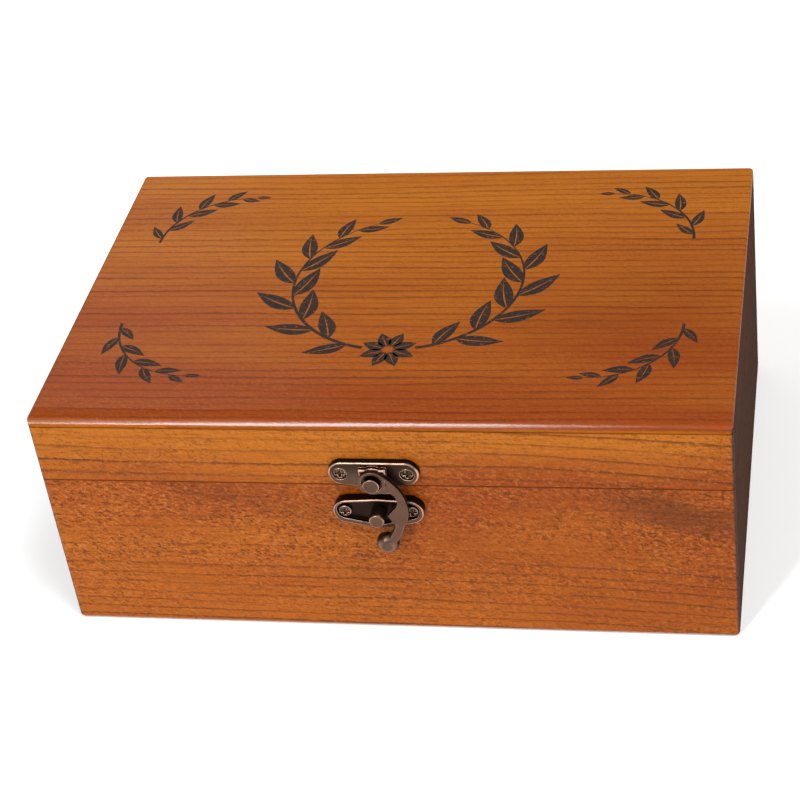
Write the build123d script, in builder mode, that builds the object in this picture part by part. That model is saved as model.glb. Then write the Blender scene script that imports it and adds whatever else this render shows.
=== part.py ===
"""A wooden keepsake box: rabbeted boards, a hinged lid and a swing-hook latch on its front.

Millimetres, +Z up. The origin is the middle of the underside, the front faces -Y.
"""
import os
from math import acos, cos, degrees, radians, sin

from build123d import *

# Outside of the closed box
box_length = 200.0
box_depth = 132.0
body_height = 54.6
lid_height = 22.4

# Boards
wall_thickness = 8.0
lap_thickness = 3.0  # what a long board keeps in front of an end board
top_thickness = 3.0
bottom_thickness = 3.0
ledge_width = 4.0  # rabbet under the walls that takes the bottom panel
panel_clearance = 0.15
edge_ease = 1.3  # rounding of the outer corners and of the foot
seam_ease = 0.2  # bevel along the saw cut between body and lid
joint_ease = 0.15  # bevel along the joint of the rails and the top panel
front_land = 0.5  # upright edge left under the rounded front of the top panel
front_round = 5.5  # how far back the rounded front of the top panel reaches
top_ease = 1.2  # rounding of the other upper edges of the top panel

# Brads in the bottom panel
brad_radius = 0.6
brad_length = 14.0
brad_head_radius = 1.1
brad_head_height = 0.6
brads_per_long_side = 3
brads_per_end = 2

# Screws
screw_radius = 0.9
screw_length = 6.5  # under the head
screw_head_radius = 1.9
screw_head_height = 0.9
screw_head_round = 0.4
cross_length = 2.8
cross_width = 0.9
cross_depth = 0.6
hole_clearance = 0.15
pilot_clearance = 0.03

# Hinges
hinge_inset = 38.0  # from the end of the box to the middle of a hinge
hinge_width = 24.0
leaf_reach = 10.5  # from the hinge axis to the far edge of a leaf
leaf_thickness = 1.0
leaf_corner = 1.5
leaf_gap = 0.4  # between a leaf and the other leaf's knuckles
knuckle_radius = 1.7
knuckle_gap = 0.3
barrel_standoff = 0.3  # between the barrel and the wood
pin_radius = 0.8
pin_clearance = 0.05
pin_head_radius = 1.3
pin_head_height = 0.6
pin_head_round = 0.3
hinge_screw_spacing = 15.0

# Latch plates
latch_x = 0.0
plate_length = 26.2
plate_height = 8.2
plate_screw_spacing = 19.4
latch_plate_thickness = 2.0
latch_plate_round = 0.8
latch_plate_clear = 1.3  # from the saw cut up to the edge of the upper plate
latch_lobe_radius = 4.4
screw_sink = 1.1  # depth of the screws' seats in the upper plate
pivot_drop = 0.9  # rivet below the screw row of the upper plate
boss_radius = 3.9
boss_rise = 3.4  # from the rivet up to the square top of the boss
boss_height = 3.45
boss_bevel = 0.4
keeper_thickness = 3.0
keeper_round = 0.5
keeper_lobe_radius = 5.4
keeper_drop = 0.7  # stud below the screw row of the keeper
keeper_rim = 1.1
pocket_depth = 1.2  # of the keeper's sunk field
pocket_lift = 0.5  # of the sunk field, which leaves a broader rim below it

# Rivet and stud, heights measured from the wood
post_height = 6.5
tenon_inset = 0.2  # between a tenon's end and the wood
rivet_radius = 1.6
rivet_head_radius = 2.35
rivet_round = 0.3
stud_radius = 2.3
stud_tenon_radius = 1.3
stud_round = 0.7
press_clearance = 0.03

# Swing hook
hook_running_gap = 0.15
hook_base_thickness = 1.0
hook_blade_thickness = 0.5  # raised on the base
hook_reach = 9.3  # from the rivet to the outermost edge of the blade
hook_drop = 21.9  # from the rivet down to the middle of the thumb knob
eye_radius = 3.9
eye_rim = 0.9
hook_bore_clearance = 0.06
blade_round = 0.2
blade_start_angle = 57.8  # where the outer edge of the blade leaves the eye
knob_radius = 3.25
knob_thickness = 3.2
knob_round = 2.4
stem_width = 2.8
stem_round = 0.6

# Points of the hook as shares of hook_reach and hook_drop, from the rivet
outer_low_share = (1.00, -0.46)
heel_mid_share = (0.945, -0.605)
heel_share = (0.80, -0.71)
step_share = (0.52, -0.69)
tooth_share = (0.33, -0.535)
throat_share = (0.60, -0.405)
crook_share = (0.555, -0.178)
knob_share = (0.21, -1.00)
stud_drop_share = 0.587

# The stem's middle line, from inside the blade to inside the knob, and its height in shares of the knob's
stem_path_shares = ((0.71, -0.64), (0.60, -0.79), (0.34, -0.94))
stem_height_shares = {0.0: 0.41, 0.5: 0.68, 1.0: 0.86}  # by the share of its way along that line

# Places worked out from the sizes above
half_length = box_length / 2
half_depth = box_depth / 2
seam_z = body_height
top_z = body_height + lid_height
rail_top_z = top_z - top_thickness
inside_length = box_length - 2 * wall_thickness
inside_depth = box_depth - 2 * wall_thickness
recess_length = inside_length + 2 * ledge_width
recess_depth = inside_depth + 2 * ledge_width
front_face = Plane(origin=(0, -half_depth, 0), x_dir=(1, 0, 0), z_dir=(0, -1, 0))
back_face = Plane(origin=(0, half_depth, 0), x_dir=(-1, 0, 0), z_dir=(0, 1, 0))
upward = (Align.CENTER, Align.CENTER, Align.MIN)
downward = (Align.CENTER, Align.CENTER, Align.MAX)

hinge_axis_y = half_depth + barrel_standoff + knuckle_radius
leaf_start = knuckle_radius + leaf_gap
leaf_height = leaf_reach - leaf_start
leaf_middle = leaf_start + leaf_height / 2
knuckle_length = (hinge_width - 2 * knuckle_gap) / 3
knuckle_pitch = knuckle_length + knuckle_gap
hinge_places = {"left": hinge_inset - half_length, "right": half_length - hinge_inset}

latch_seat = latch_plate_thickness - screw_sink
keeper_field = keeper_thickness - pocket_depth
latch_row_z = seam_z + latch_plate_clear + plate_height / 2
pivot_z = latch_row_z - pivot_drop
stud_z = pivot_z - stud_drop_share * hook_drop
keeper_row_z = stud_z + keeper_drop
hook_back = boss_height + hook_running_gap
hook_floor = hook_back + hook_base_thickness

os.makedirs("parts", exist_ok=True)


def finish(piece, label):
    """Label a finished piece and write it to its own file."""
    piece.part.label = label
    export_step(piece.part, f"parts/{label}.step")


# Fasteners
def brad_places():
    """Places of the brads on the underside, along the middle of the ledge."""
    ledge_x = inside_length / 2 + ledge_width / 2
    ledge_y = inside_depth / 2 + ledge_width / 2
    places = []
    for number in range(brads_per_long_side):
        along_x = inside_length * ((number + 1 / 2) / brads_per_long_side - 1 / 2)
        places += [(along_x, -ledge_y), (along_x, ledge_y)]
    for number in range(brads_per_end):
        along_y = inside_depth * ((number + 1 / 2) / brads_per_end - 1 / 2)
        places += [(-ledge_x, along_y), (ledge_x, along_y)]
    return places


def add_brads(extra):
    """Brads with flush heads, grown all round by extra for the holes that take them."""
    with Locations(*brad_places()):
        Cylinder(brad_head_radius + extra, brad_head_height + extra, align=upward)
        Cylinder(brad_radius + extra, brad_length + extra, align=upward)


def screw_group(label, face, places, seat):
    """Cross-head screws in one group; seat is the height of the face under their heads."""
    with BuildPart(face.offset(seat)) as screws:
        with Locations(*places):
            Cylinder(screw_head_radius, screw_head_height, align=upward)
        crowns = screws.faces().group_by(Axis(face.origin, face.z_dir))[-1]
        fillet(crowns.edges(), screw_head_round)
        with Locations(*places):
            Cylinder(screw_radius, screw_length, align=downward)
        with Locations(*[Location((x, y, screw_head_height)) for x, y in places]):
            Box(cross_length, cross_width, cross_depth, align=downward, mode=Mode.SUBTRACT)
            Box(cross_width, cross_length, cross_depth, align=downward, mode=Mode.SUBTRACT)
    finish(screws, label)


def pilot_holes(face, places, seat):
    """Cutter for the holes that a group of screws makes in the wood behind a face."""
    depth = screw_length - seat + pilot_clearance
    with BuildPart(face) as holes:
        with Locations(*places):
            Cylinder(screw_radius + pilot_clearance, depth, align=downward)
    return holes.part


def hinge_screw_places(up):
    """Places of the hinge screws on the back face; up is 1 on the lid and -1 on the body."""
    offsets = (-hinge_screw_spacing / 2, hinge_screw_spacing / 2)
    row_z = seam_z + up * leaf_middle
    return [(middle + offset, row_z) for middle in hinge_places.values() for offset in offsets]


def plate_screw_places(row_z):
    """Places of the two screws of a latch plate on the front face."""
    return [(latch_x - plate_screw_spacing / 2, row_z), (latch_x + plate_screw_spacing / 2, row_z)]


with BuildPart() as bottom_brads:
    add_brads(0)
finish(bottom_brads, "bottom_brads")

with BuildPart() as brad_holes:
    add_brads(pilot_clearance)

with BuildPart() as ledge_recess:
    with BuildSketch():
        Rectangle(recess_length, recess_depth)
    extrude(amount=bottom_thickness)

screw_group("hinge_body_screws", back_face, hinge_screw_places(-1), leaf_thickness)
screw_group("hinge_lid_screws", back_face, hinge_screw_places(1), leaf_thickness)
screw_group("keeper_screws", front_face, plate_screw_places(keeper_row_z), keeper_field)
screw_group("latch_plate_screws", front_face, plate_screw_places(latch_row_z), latch_seat)

body_cuts = [
    ledge_recess.part,
    brad_holes.part,
    pilot_holes(back_face, hinge_screw_places(-1), leaf_thickness),
    pilot_holes(front_face, plate_screw_places(keeper_row_z), keeper_field),
]
lid_cuts = [
    pilot_holes(back_face, hinge_screw_places(1), leaf_thickness),
    pilot_holes(front_face, plate_screw_places(latch_row_z), latch_seat),
]


# Boards
def eased_block(low_z, high_z, low_bevel, ease_top, top_size, foot):
    """The outside of a glued-up frame, with its edges eased as one block; ease_top is chamfer or fillet."""
    with BuildPart() as block:
        with BuildSketch(Plane.XY.offset(low_z)):
            Rectangle(box_length, box_depth)
        extrude(amount=high_z - low_z)
        rounded = block.edges().filter_by(Axis.Z)
        if foot:
            rounded += block.faces().sort_by(Axis.Z)[0].edges()
        fillet(rounded, edge_ease)
        if not foot:
            chamfer(block.faces().sort_by(Axis.Z)[0].edges(), low_bevel)
        ease_top(block.faces().sort_by(Axis.Z)[-1].edges(), top_size)
    return block.part


body_block = eased_block(0, seam_z, 0, chamfer, seam_ease, True)
rail_block = eased_block(seam_z, rail_top_z, seam_ease, chamfer, joint_ease, False)
panel_block = eased_block(rail_top_z, top_z, joint_ease, fillet, top_ease, False)


def long_board(label, side, block, cuts, low_z, high_z):
    """A full-length board with rabbeted ends; side is -1 at the front and 1 at the back."""
    rabbet_depth = wall_thickness - lap_thickness
    rabbet_x = half_length - wall_thickness / 2
    rabbet_y = side * (inside_depth / 2 + rabbet_depth / 2)
    with BuildPart() as board:
        with BuildSketch(Plane.XY.offset(low_z)):
            with Locations((0, side * (half_depth - wall_thickness / 2))):
                Rectangle(box_length, wall_thickness)
            with Locations((-rabbet_x, rabbet_y), (rabbet_x, rabbet_y)):
                Rectangle(wall_thickness, rabbet_depth, mode=Mode.SUBTRACT)
        extrude(amount=high_z - low_z)
        add(block, mode=Mode.INTERSECT)
        add(cuts, mode=Mode.SUBTRACT)
    finish(board, label)


def end_board(label, side, block, cuts, low_z, high_z):
    """An end board between the laps of the long boards; side is -1 at the left and 1 at the right."""
    with BuildPart() as board:
        with BuildSketch(Plane.XY.offset(low_z)):
            with Locations((side * (half_length - wall_thickness / 2), 0)):
                Rectangle(wall_thickness, box_depth - 2 * lap_thickness)
        extrude(amount=high_z - low_z)
        add(block, mode=Mode.INTERSECT)
        add(cuts, mode=Mode.SUBTRACT)
    finish(board, label)


long_board("body_front_board", -1, body_block, body_cuts, 0, seam_z)
long_board("body_back_board", 1, body_block, body_cuts, 0, seam_z)
end_board("body_left_board", -1, body_block, body_cuts, 0, seam_z)
end_board("body_right_board", 1, body_block, body_cuts, 0, seam_z)
long_board("lid_front_rail", -1, rail_block, lid_cuts, seam_z, rail_top_z)
long_board("lid_back_rail", 1, rail_block, lid_cuts, seam_z, rail_top_z)
end_board("lid_left_rail", -1, rail_block, lid_cuts, seam_z, rail_top_z)
end_board("lid_right_rail", 1, rail_block, lid_cuts, seam_z, rail_top_z)

with BuildPart() as bottom_panel:
    with BuildSketch():
        Rectangle(recess_length - 2 * panel_clearance, recess_depth - 2 * panel_clearance)
    extrude(amount=bottom_thickness)
    add(brad_holes.part, mode=Mode.SUBTRACT)
finish(bottom_panel, "bottom_panel")

with BuildPart() as lid_top_panel:
    with BuildSketch(Plane.YZ.offset(-half_length)):
        with BuildLine():
            land_z = rail_top_z + front_land
            middle = (front_round - half_depth, land_z)
            EllipticalCenterArc(middle, front_round, top_z - land_z, start_angle=90, arc_size=90)
            Polyline(
                (-half_depth, land_z),
                (-half_depth, rail_top_z),
                (half_depth, rail_top_z),
                (half_depth, top_z),
                (front_round - half_depth, top_z),
            )
        make_face()
    extrude(amount=box_length)
    add(panel_block, mode=Mode.INTERSECT)
finish(lid_top_panel, "lid_top_panel")


# Hinges
def hinge_leaf(label, hinge_x, up, knuckle_middles):
    """A surface-mounted leaf with its knuckles; up is 1 on the lid and -1 on the body."""
    with BuildPart() as leaf:
        with BuildSketch(back_face) as plate:
            with Locations((-hinge_x, seam_z + up * leaf_middle)):
                Rectangle(hinge_width, leaf_height)
            rows = plate.vertices().group_by(Axis.Y)
            fillet(rows[-1] if up > 0 else rows[0], leaf_corner)
            screw_xs = (-hinge_screw_spacing / 2, hinge_screw_spacing / 2)
            with Locations(*[(x - hinge_x, seam_z + up * leaf_middle) for x in screw_xs]):
                Circle(screw_radius + hole_clearance, mode=Mode.SUBTRACT)
        extrude(amount=leaf_thickness)
        for middle in knuckle_middles:
            with BuildSketch(Plane.YZ.offset(hinge_x + middle - knuckle_length / 2)):
                web = leaf_thickness - barrel_standoff
                with Locations((half_depth + barrel_standoff + web / 2, seam_z + up * leaf_start / 2)):
                    Rectangle(web, leaf_start)
                with Locations((hinge_axis_y, seam_z)):
                    Circle(knuckle_radius)
                    Circle(pin_radius + pin_clearance, mode=Mode.SUBTRACT)
            extrude(amount=knuckle_length)
    finish(leaf, label)


def hinge_pin(label, hinge_x):
    """A pin along the hinge axis, with a head past each end of the barrel."""
    barrel_half = hinge_width / 2 + pin_clearance
    with BuildPart(Plane(origin=(hinge_x, hinge_axis_y, seam_z), z_dir=(1, 0, 0))) as pin:
        Cylinder(pin_radius, 2 * barrel_half)
        with Locations((0, 0, barrel_half)):
            Cylinder(pin_head_radius, pin_head_height, align=upward)
        with Locations((0, 0, -barrel_half)):
            Cylinder(pin_head_radius, pin_head_height, align=downward)
        crowns = pin.faces().filter_by(Axis.X).sort_by(Axis.X)
        fillet(crowns[0].edges() + crowns[-1].edges(), pin_head_round)
    finish(pin, label)


for side_name, place_x in hinge_places.items():
    hinge_leaf(f"hinge_body_leaf_{side_name}", place_x, -1, (-knuckle_pitch, knuckle_pitch))
    hinge_leaf(f"hinge_lid_leaf_{side_name}", place_x, 1, (0,))
    hinge_pin(f"hinge_pin_{side_name}", place_x)


# Latch
def plate_outline(row_z, lobe_z, lobe_radius, inset):
    """A bar with round ears and a lobe under its middle, drawn in by inset."""
    with Locations((latch_x, row_z)):
        SlotOverall(plate_length - 2 * inset, plate_height - 2 * inset)
    with Locations((latch_x, lobe_z)):
        Circle(lobe_radius - inset)
    make_hull(mode=Mode.REPLACE)


def plate_blank(row_z, lobe_z, lobe_radius, thickness, front_round_over):
    """A latch plate with a rounded front edge and its two screw holes."""
    with BuildPart() as plate:
        with BuildSketch(front_face):
            plate_outline(row_z, lobe_z, lobe_radius, 0)
        extrude(amount=thickness)
        fillet(plate.faces().sort_by(Axis.Y)[0].edges(), front_round_over)
        with BuildSketch(front_face):
            with Locations(*plate_screw_places(row_z)):
                Circle(screw_radius + hole_clearance)
        extrude(amount=thickness, mode=Mode.SUBTRACT)
    return plate.part


latch_blank = plate_blank(
    latch_row_z, pivot_z, latch_lobe_radius, latch_plate_thickness, latch_plate_round
)
keeper_blank = plate_blank(keeper_row_z, stud_z, keeper_lobe_radius, keeper_thickness, keeper_round)

with BuildPart() as latch_plate:
    add(latch_blank)
    with BuildSketch(front_face.offset(latch_seat)):
        with Locations(*plate_screw_places(latch_row_z)):
            Circle(screw_head_radius + hole_clearance)
    extrude(amount=screw_sink, mode=Mode.SUBTRACT)
    with BuildSketch(front_face):
        with Locations((latch_x, pivot_z)):
            Circle(boss_radius)
            Rectangle(2 * boss_radius, boss_rise, align=(Align.CENTER, Align.MIN))
    extrude(amount=boss_height)
    chamfer(latch_plate.faces().sort_by(Axis.Y)[0].edges(), boss_bevel)
    with BuildSketch(front_face):
        with Locations((latch_x, pivot_z)):
            Circle(rivet_radius + press_clearance)
    extrude(amount=boss_height, mode=Mode.SUBTRACT)
finish(latch_plate, "latch_plate")

with BuildPart() as keeper_plate:
    add(keeper_blank)
    with BuildSketch(front_face.offset(keeper_field)):
        plate_outline(keeper_row_z + pocket_lift, stud_z + pocket_lift, keeper_lobe_radius, keeper_rim)
    extrude(amount=pocket_depth, mode=Mode.SUBTRACT)
    with BuildSketch(front_face):
        with Locations((latch_x, stud_z)):
            Circle(stud_tenon_radius + press_clearance)
    extrude(amount=keeper_thickness, mode=Mode.SUBTRACT)
finish(keeper_plate, "keeper_plate")


def post(label, post_z, tenon_radius, head_radius, head_start, head_round):
    """A turned post: a tenon through its plate and a flat-faced head up to post_height."""
    with BuildPart() as turned:
        with BuildSketch(front_face.offset(tenon_inset)):
            with Locations((latch_x, post_z)):
                Circle(tenon_radius)
        extrude(amount=head_start - tenon_inset)
        with BuildSketch(front_face.offset(head_start)):
            with Locations((latch_x, post_z)):
                Circle(head_radius)
        extrude(amount=post_height - head_start)
        fillet(turned.faces().sort_by(Axis.Y)[0].edges(), head_round)
    finish(turned, label)


rivet_seat = hook_floor + hook_running_gap
post("keeper_stud", stud_z, stud_tenon_radius, stud_radius, keeper_field, stud_round)
post("latch_pivot", pivot_z, rivet_radius, rivet_head_radius, rivet_seat, rivet_round)


def hook_point(share):
    """A point of the hook on the front face, from its shares of reach and drop."""
    return (latch_x + share[0] * hook_reach, pivot_z + share[1] * hook_drop)


def eye_point(angle):
    """A point on the rim of the hook's eye, at an angle from +X."""
    return (latch_x + eye_radius * cos(radians(angle)), pivot_z + eye_radius * sin(radians(angle)))


# Angles where the two edges of the neck touch the rim of the eye
crook = Vector(*hook_point(crook_share)) - Vector(latch_x, pivot_z)
crook_angle = degrees(acos(crook.X / crook.length))
touch_angle = degrees(acos(eye_radius / crook.length))
neck_upper = eye_point(touch_angle - crook_angle)
neck_lower = eye_point(-touch_angle - crook_angle)
blade_start = eye_point(blade_start_angle)
blade_direction = (sin(radians(blade_start_angle)), -cos(radians(blade_start_angle)))


def blade_edges():
    """Outer edge of the blade, from the eye round to the heel."""
    TangentArc(blade_start, hook_point(outer_low_share), tangent=blade_direction)
    ThreePointArc(hook_point(outer_low_share), hook_point(heel_mid_share), hook_point(heel_share))


def throat_edges():
    """Inner edge of the blade, from the step over the tooth up to the crook beside the eye."""
    Polyline(hook_point(step_share), hook_point(tooth_share), hook_point(throat_share))
    rise = Vector(*hook_point(throat_share)) - Vector(*hook_point(tooth_share))
    TangentArc(hook_point(throat_share), hook_point(crook_share), tangent=rise)


with BuildLine(front_face.offset(hook_back)) as stem_path:
    ThreePointArc(*[hook_point(share) for share in stem_path_shares])

with BuildPart() as latch_hook:
    with BuildSketch(front_face.offset(hook_back)):
        with BuildLine():
            blade_edges()
            Line(hook_point(heel_share), hook_point(step_share))
            throat_edges()
            Polyline(hook_point(crook_share), neck_lower, blade_start)
        make_face()
        with Locations((latch_x, pivot_z)):
            Circle(eye_radius)
    extrude(amount=hook_base_thickness)
    with BuildSketch(front_face.offset(hook_floor)):
        with BuildLine():
            blade_edges()
            Line(hook_point(heel_share), hook_point(step_share))
            throat_edges()
            Polyline(hook_point(crook_share), neck_upper, blade_start)
        make_face()
        with Locations((latch_x, pivot_z)):
            Circle(eye_radius)
            Circle(eye_radius - eye_rim, mode=Mode.SUBTRACT)
    extrude(amount=hook_blade_thickness)
    fillet(latch_hook.faces().sort_by(Axis.Y)[0].outer_wire().edges(), blade_round)
    with BuildSketch(front_face.offset(hook_back)):
        with Locations(hook_point(knob_share)):
            Circle(knob_radius)
    extrude(amount=knob_thickness)
    fillet(latch_hook.faces().sort_by(Axis.Y)[0].edges(), knob_round)
    for way, height_share in stem_height_shares.items():
        onward = stem_path.line % way
        stem_height = height_share * knob_thickness
        across = Plane(stem_path.line @ way, x_dir=front_face.z_dir.cross(onward), z_dir=onward)
        with BuildSketch(across) as stem_section:
            Rectangle(stem_width, stem_height, align=(Align.CENTER, Align.MIN))
            fillet(stem_section.vertices().group_by(Axis.Y)[-1], stem_round)
    loft()
    with BuildSketch(front_face.offset(hook_back)):
        with Locations((latch_x, pivot_z)):
            Circle(rivet_radius + hook_bore_clearance)
    extrude(amount=hook_base_thickness, mode=Mode.SUBTRACT)
finish(latch_hook, "latch_hook")
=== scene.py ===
"""Looks of a hinged wooden keepsake box: stained boards, a printed lid, hinges and an antique swing latch.

Lengths are in metres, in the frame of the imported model, with +Z up and the latch on the -Y side.
"""

import logging
import math
from collections.abc import Mapping, Sequence
from dataclasses import dataclass
from enum import Enum
from typing import Any

import bpy
import numpy as np
from mathutils import Matrix, Vector


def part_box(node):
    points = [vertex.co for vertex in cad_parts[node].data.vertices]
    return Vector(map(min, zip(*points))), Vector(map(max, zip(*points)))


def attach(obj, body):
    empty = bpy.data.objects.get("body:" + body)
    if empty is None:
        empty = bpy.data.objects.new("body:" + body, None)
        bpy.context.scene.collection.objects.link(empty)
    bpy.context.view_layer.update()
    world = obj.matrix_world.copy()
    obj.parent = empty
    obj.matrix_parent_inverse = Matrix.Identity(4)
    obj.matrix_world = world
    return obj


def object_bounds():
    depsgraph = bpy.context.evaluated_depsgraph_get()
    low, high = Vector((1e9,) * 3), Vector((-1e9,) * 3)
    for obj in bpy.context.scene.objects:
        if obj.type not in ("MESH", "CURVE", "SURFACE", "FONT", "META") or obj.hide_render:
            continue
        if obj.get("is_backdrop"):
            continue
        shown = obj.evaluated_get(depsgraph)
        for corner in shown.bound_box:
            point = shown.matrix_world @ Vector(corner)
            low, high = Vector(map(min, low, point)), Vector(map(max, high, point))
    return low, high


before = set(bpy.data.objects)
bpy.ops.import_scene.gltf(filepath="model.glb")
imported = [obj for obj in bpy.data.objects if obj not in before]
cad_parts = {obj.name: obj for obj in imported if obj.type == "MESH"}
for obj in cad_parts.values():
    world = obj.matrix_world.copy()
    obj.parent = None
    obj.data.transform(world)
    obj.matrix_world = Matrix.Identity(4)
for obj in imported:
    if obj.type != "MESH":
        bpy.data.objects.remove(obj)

LOG = logging.getLogger("keepsake_box")
QUARTER_TURN = math.pi / 2
NOISE_MIDDLE = 0.5
Colour = tuple[float, float, float]
Size = tuple[float, float, float]
Span = tuple[float, float]


class Run(Enum):
    """The way the fibres of a board run."""

    LENGTHWISE = "along X"
    CROSSWISE = "along Y"


class MixSocket:
    """Numbers of the Mix node's colour sockets, whose names repeat."""

    SHARE = 0
    FIRST = 6
    SECOND = 7
    RESULT = 2


class Signal:
    """An output socket of a shader graph, on which Python's operators add Math nodes.

    Sums with 0 and products with 0 or 1 are worked out at once, so that no node carries a plain number.
    """

    def __init__(self, graph: "Graph", socket: bpy.types.NodeSocket) -> None:
        """Keeps the socket and the graph that it belongs to."""
        self.graph = graph
        self.socket = socket

    def __add__(self, other: "Value") -> "Signal":
        """Sum."""
        return self if other == 0.0 else self.graph.math("ADD", self, other)

    __radd__ = __add__

    def __sub__(self, other: "Value") -> "Signal":
        """Difference."""
        return self if other == 0.0 else self.graph.math("SUBTRACT", self, other)

    def __rsub__(self, other: "Value") -> "Signal":
        """Difference from a number."""
        return self.graph.math("SUBTRACT", other, self)

    def __mul__(self, other: "Value") -> "Value":
        """Product."""
        if other == 0.0:
            return 0.0
        return self if other == 1.0 else self.graph.math("MULTIPLY", self, other)

    __rmul__ = __mul__

    def __truediv__(self, other: "Value") -> "Signal":
        """Quotient."""
        return self.graph.math("DIVIDE", self, other)

    def __pow__(self, other: "Value") -> "Signal":
        """Power."""
        return self.graph.math("POWER", self, other)

    def __abs__(self) -> "Signal":
        """The value without its sign."""
        return self.graph.math("ABSOLUTE", self)

    def floor(self) -> "Signal":
        """The whole number below."""
        return self.graph.math("FLOOR", self)

    def fraction(self) -> "Signal":
        """What is left above the whole number below."""
        return self.graph.math("FRACT", self)

    def step(self, low: float, high: float) -> "Signal":
        """A smooth step that is 0 at low and 1 at high.

        Args:
            low: The value where the step begins.
            high: The value where the step ends. It may be less than low.

        Returns:
            The step, from 0 to 1.
        """
        sockets = {"Value": self, "From Min": low, "From Max": high}
        return self.graph.out("MapRange", "Result", {"interpolation_type": "SMOOTHSTEP"}, sockets)


Value = Signal | float
Place = tuple[Signal, Signal, Signal]


class Graph:
    """The node graph of one material."""

    def __init__(self, name: str) -> None:
        """Makes an empty material of that name."""
        self.material = bpy.data.materials.new(name)
        self.material.use_nodes = True
        self.tree = self.material.node_tree
        self.tree.nodes.clear()

    def node(
        self, kind: str, settings: Mapping[str, Any], sockets: Mapping[str | int, Any]
    ) -> bpy.types.Node:
        """Adds one node.

        Args:
            kind: The node's type, without the word ShaderNode.
            settings: Properties of the node, which are set first.
            sockets: Values or signals for its inputs, by name or by number.

        Returns:
            The new node.
        """
        made = self.tree.nodes.new("ShaderNode" + kind)
        for key, value in settings.items():
            setattr(made, key, value)
        for key, value in sockets.items():
            if isinstance(value, Signal):
                self.tree.links.new(value.socket, made.inputs[key])
            else:
                made.inputs[key].default_value = value
        return made

    def out(
        self, kind: str, output: str | int, settings: Mapping[str, Any], sockets: Mapping[str | int, Any]
    ) -> Signal:
        """Adds one node and gives one of its outputs.

        Args:
            kind: The node's type, without the word ShaderNode.
            output: The output's name or number.
            settings: Properties of the node.
            sockets: Values or signals for its inputs.

        Returns:
            That output as a signal.
        """
        return Signal(self, self.node(kind, settings, sockets).outputs[output])

    def math(self, operation: str, *values: Value) -> Signal:
        """Adds a Math node with that operation on the values and gives its result."""
        return self.out("Math", "Value", {"operation": operation}, dict(enumerate(values)))

    def mix(self, share: Value, first: Signal | Colour, second: Signal | Colour) -> Signal | Colour:
        """Mixes two colours.

        Args:
            share: How much of the second colour shows, from 0 to 1.
            first: The colour at 0.
            second: The colour at 1.

        Returns:
            The mixed colour, or the first one where the share is a plain 0.
        """
        if share == 0.0:
            return first
        sockets = {MixSocket.SHARE: share, MixSocket.FIRST: opaque(first), MixSocket.SECOND: opaque(second)}
        return self.out("Mix", MixSocket.RESULT, {"data_type": "RGBA"}, sockets)

    def place(self) -> Signal:
        """The point on the piece, in metres."""
        return self.out("TexCoord", "Object", {}, {})

    def facing(self) -> Place:
        """The three components of the way that the surface faces, along the piece's own axes."""
        return self.parts(self.out("TexCoord", "Normal", {}, {}))

    def parts(self, vector: Signal) -> Place:
        """The three components of a vector."""
        made = self.node("SeparateXYZ", {}, {"Vector": vector})
        return tuple(Signal(self, socket) for socket in made.outputs)

    def vector(self, *components: Value) -> Signal:
        """A vector of three components."""
        return self.out("CombineXYZ", "Vector", {}, dict(enumerate(components)))

    def noise(self, point: Signal, grain: Size, detail: float = 2.0, twist: float = 0.0) -> Signal:
        """Soft noise whose blotches have the given size.

        Args:
            point: Where the noise is read, in metres.
            grain: The size of a blotch along each axis, in metres.
            detail: How many finer layers are added.
            twist: How far the blotches curl.

        Returns:
            The noise, around 0.5.
        """
        scaled = self.out("VectorMath", "Vector", {"operation": "DIVIDE"}, {0: point, 1: grain})
        sockets = {"Vector": scaled, "Scale": 1.0, "Detail": detail, "Distortion": twist}
        return self.out("TexNoise", "Fac", {}, sockets)

    def swing(self, point: Signal, grain: Size, reach: float) -> Signal:
        """Soft noise about 0, from half the reach below it to half the reach above."""
        return (self.noise(point, grain) - NOISE_MIDDLE) * reach

    def bump(self, height: Signal, distance: float, strength: float, **normal: Signal) -> Signal:
        """Turns a height into a normal.

        Args:
            height: The height, around 0 to 1.
            distance: What a height of 1 stands for, in metres.
            strength: How much of it shows.
            normal: A normal to start from, as Normal.

        Returns:
            The bumped normal.
        """
        sockets = {"Strength": strength, "Distance": distance, "Height": height, **normal}
        return self.out("Bump", "Normal", {}, sockets)

    def surface(self, **sockets: Any) -> bpy.types.Material:
        """Adds the Principled shader, with underscores in names for spaces, and gives the whole material."""
        named = {key.replace("_", " "): value for key, value in sockets.items()}
        shader = self.out("BsdfPrincipled", "BSDF", {}, named)
        self.node("OutputMaterial", {}, {"Surface": shader})
        return self.material


def opaque(colour: Signal | Colour) -> Signal | tuple[float, float, float, float]:
    """A colour with full alpha, or the signal as it is."""
    return colour if isinstance(colour, Signal) else (*colour, 1.0)


def partly(share: float, signal: Signal) -> Value:
    """A factor that the signal, from 0 to 1, raises from 1 - share to 1."""
    return 1.0 - share + signal * share


@dataclass(frozen=True)
class Smudge:
    """A dark patch in a board, as a soft ellipse that leans by a slope.

    Its place is along X and up Z, or back along Y on a board that lies flat.
    """

    x: float
    up: float
    half_width: float
    half_height: float
    share: float
    lean: float = 0.22


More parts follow.
